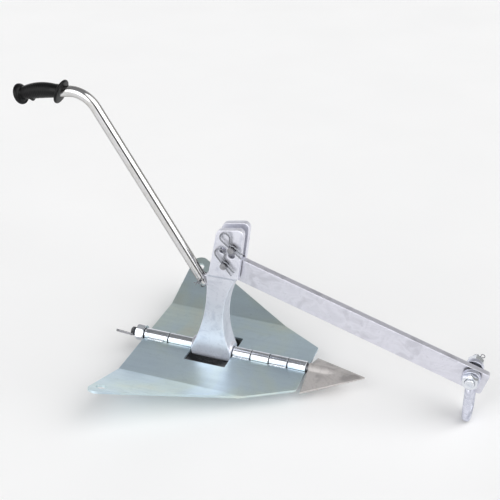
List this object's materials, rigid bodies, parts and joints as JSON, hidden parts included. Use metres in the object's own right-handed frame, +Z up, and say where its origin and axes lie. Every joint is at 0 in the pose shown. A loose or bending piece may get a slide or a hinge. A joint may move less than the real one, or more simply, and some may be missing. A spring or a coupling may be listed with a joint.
{
  "type": "folding plow-type ground anchor",
  "caption": "Folding ground anchor for winching: hinged wing plates with a cast nose, a forked upright, a draw arm with a bow shackle, and a tilting carrying handle.",
  "frame": {"origin": "middle of the overall length and width, at the height of the lowest point, which is the crown of the hanging shackle", "axes": "+X along the hinge line towards the nose and the shackle, +Y to the left-hand wing, +Z up"},
  "size_m": [1.0136, 0.5724, 0.6119],
  "materials": {
    "cast_zinc": "hot-dip galvanised casting, slightly mottled",
    "plate_zinc": "blue passivated zinc on sheet steel",
    "bright_zinc": "bright zinc plate, semi-gloss",
    "bar_zinc": "galvanised flat bar, satin",
    "weld_metal": "zinc-plated weld bead",
    "cast_grey": "fine-grained bare casting",
    "polished_tube": "polished zinc-plated tube",
    "black_rubber": "moulded rubber, slightly glossy",
    "pin_steel": "zinc-plated pin steel"
  },
  "bodies": {
    "upright": {"upright": "cast_zinc", "upper_stop_pin": "pin_steel", "lower_pivot_pin": "pin_steel"},
    "nose": {"nose": "cast_grey", "hinge_pin": "pin_steel", "hinge_nut": "bright_zinc", "hinge_washer": "bright_zinc", "hinge_split_pin": "pin_steel"},
    "right_wing": {"right_wing_plate": "plate_zinc", "right_rear_knuckle": "bright_zinc", "right_middle_knuckle": "bright_zinc", "right_front_knuckle": "bright_zinc", "right_hinge_welds": "weld_metal"},
    "left_wing": {"left_wing_plate": "plate_zinc", "left_rear_knuckle": "bright_zinc", "left_middle_knuckle": "bright_zinc", "left_front_knuckle": "bright_zinc", "left_hinge_welds": "weld_metal"},
    "draw_arm": {"draw_arm": "bar_zinc"},
    "shackle": {"shackle_bow": "cast_zinc", "shackle_bolt": "bright_zinc", "shackle_nut": "bright_zinc", "shackle_split_pin": "pin_steel"},
    "handle": {"handle_tube": "polished_tube", "handle_grip": "black_rubber", "handle_pin": "pin_steel", "handle_split_pin": "pin_steel"},
    "upper_clip": {"upper_hairpin_clip": "pin_steel"},
    "lower_clip": {"lower_hairpin_clip": "pin_steel"}
  },
  "joints": [
    {"name": "nose_spin", "type": "hinge", "parent": "upright", "child": "nose", "pos_m": [-0.08018, 0, 0.04155], "axis": [1, 0, 0], "continuous": true},
    {"name": "right_wing_fold", "type": "hinge", "parent": "upright", "child": "right_wing", "pos_m": [-0.08018, 0, 0.04155], "axis": [1, 0, 0], "range_deg": [-68, 64]},
    {"name": "left_wing_fold", "type": "hinge", "parent": "upright", "child": "left_wing", "pos_m": [-0.08018, 0, 0.04155], "axis": [1, 0, 0], "range_deg": [-64, 68]},
    {"name": "arm_lift", "type": "hinge", "parent": "upright", "child": "draw_arm", "pos_m": [-0.04298, 0, 0.27125], "axis": [0, -1, 0], "range_deg": [0, 50]},
    {"name": "shackle_swing", "type": "hinge", "parent": "draw_arm", "child": "shackle", "pos_m": [0.47332, 0, 0.113], "axis": [0, 1, 0], "range_deg": [-230, 80]},
    {"name": "handle_tilt", "type": "hinge", "parent": "upright", "child": "handle", "pos_m": [-0.10418, 0, 0.21355], "axis": [0, 1, 0], "range_deg": [0, 45]},
    {"name": "upper_clip_pull", "type": "slide", "parent": "upright", "child": "upper_clip", "axis": [-0.7793, 0, 0.6266], "range_m": [0, 0.04]},
    {"name": "lower_clip_pull", "type": "slide", "parent": "upright", "child": "lower_clip", "axis": [-0.6293, 0, 0.7771], "range_m": [0, 0.04]}
  ]
}
